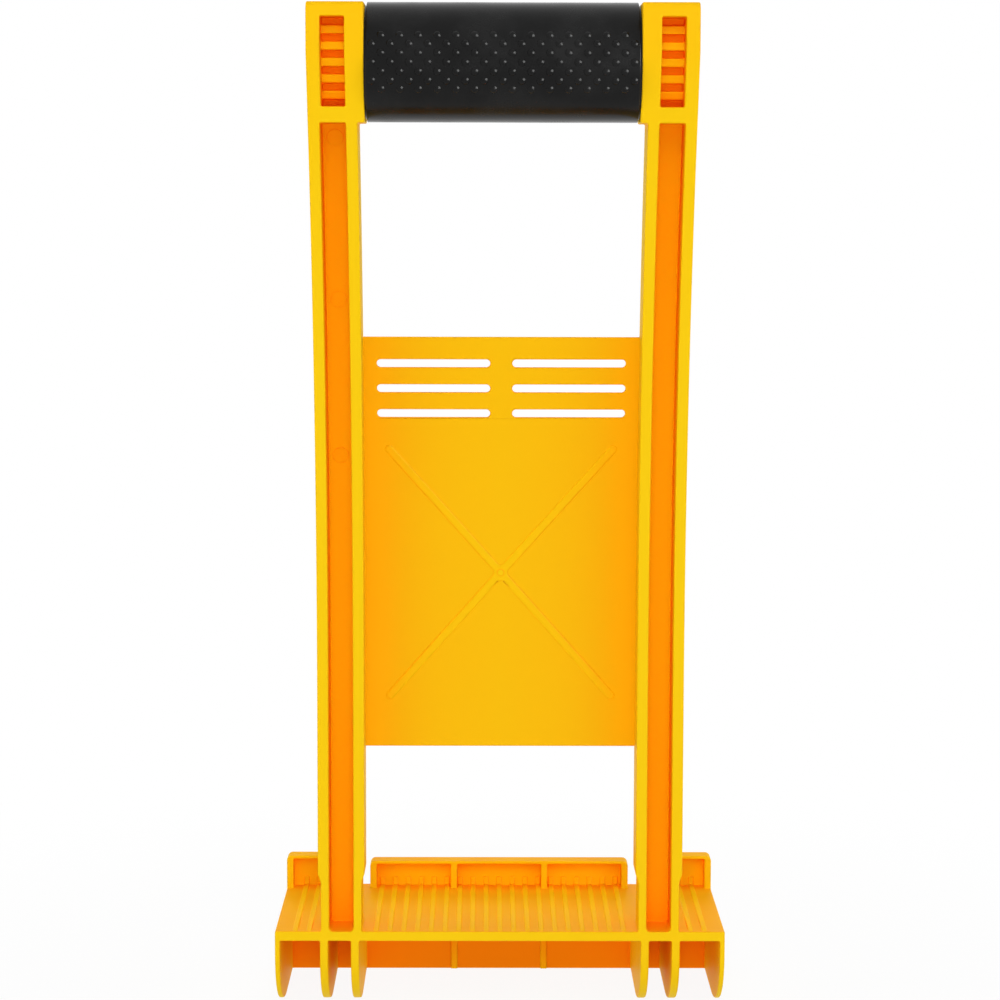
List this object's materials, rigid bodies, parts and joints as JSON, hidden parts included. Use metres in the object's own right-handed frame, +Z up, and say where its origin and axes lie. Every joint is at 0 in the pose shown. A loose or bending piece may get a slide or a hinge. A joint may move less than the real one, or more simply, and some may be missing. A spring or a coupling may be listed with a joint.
{
  "type": "panel carrier",
  "caption": "One-handed panel carrier: a ribbed shelf with a low lip takes a board's lower edge, and two bent channel uprights lead up to a studded rubber hand grip.",
  "frame": {"origin": "centre of the bounding box at floor level, under the lowest edge of the shelf's walls", "axes": "+X along the shelf to the right as seen from the hand side, +Y from the hand side towards the panel side, +Z up"},
  "size_m": [0.1666, 0.1324, 0.3713],
  "materials": {
    "yellow_plastic": "semi-gloss moulded ABS, coloured through",
    "grip_rubber": "satin black rubber with moulded studs"
  },
  "bodies": {
    "root": {"shelf_deck": "yellow_plastic", "deck_ridges": "yellow_plastic", "rear_skirt": "yellow_plastic", "skirt_ribs": "yellow_plastic", "centre_lip": "yellow_plastic", "left_lip": "yellow_plastic", "right_lip": "yellow_plastic", "left_end_wall": "yellow_plastic", "left_outer_wall": "yellow_plastic", "left_inner_wall": "yellow_plastic", "right_inner_wall": "yellow_plastic", "right_outer_wall": "yellow_plastic", "right_end_wall": "yellow_plastic", "left_foot": "yellow_plastic", "right_foot": "yellow_plastic", "left_upright": "yellow_plastic", "right_upright": "yellow_plastic", "back_plate": "yellow_plastic", "cross_ribs": "yellow_plastic", "left_head": "yellow_plastic", "right_head": "yellow_plastic", "handle_bar": "yellow_plastic", "grip_sleeve": "grip_rubber"}
  },
  "joints": []
}
